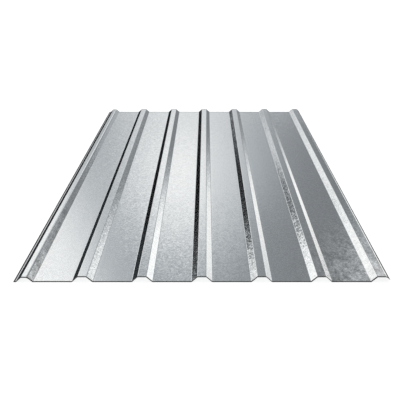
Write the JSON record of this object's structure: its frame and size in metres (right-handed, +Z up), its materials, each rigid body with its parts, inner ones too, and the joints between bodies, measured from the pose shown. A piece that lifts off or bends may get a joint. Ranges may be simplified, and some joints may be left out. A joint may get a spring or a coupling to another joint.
{
  "type": "trapezoidal corrugated metal sheet",
  "caption": "Galvanised steel roofing and cladding sheet, roll-formed with shallow trapezoidal ribs, with an underlap rib and lip on one long side and an overlap rib on the other.",
  "frame": {"origin": "middle of the sheet in plan, on the plane that the undersides of its valleys rest on", "axes": "+Y along the ribs, +X across them from the underlap side to the overlap side, +Z up"},
  "size_m": [1.1532, 2, 0.018],
  "materials": {
    "galvanised_steel": "hot-dip galvanised, bare zinc with a fine spangle, semi-bright, cut edges dulled"
  },
  "bodies": {
    "root": {"corrugated_sheet": "galvanised_steel"}
  },
  "joints": []
}
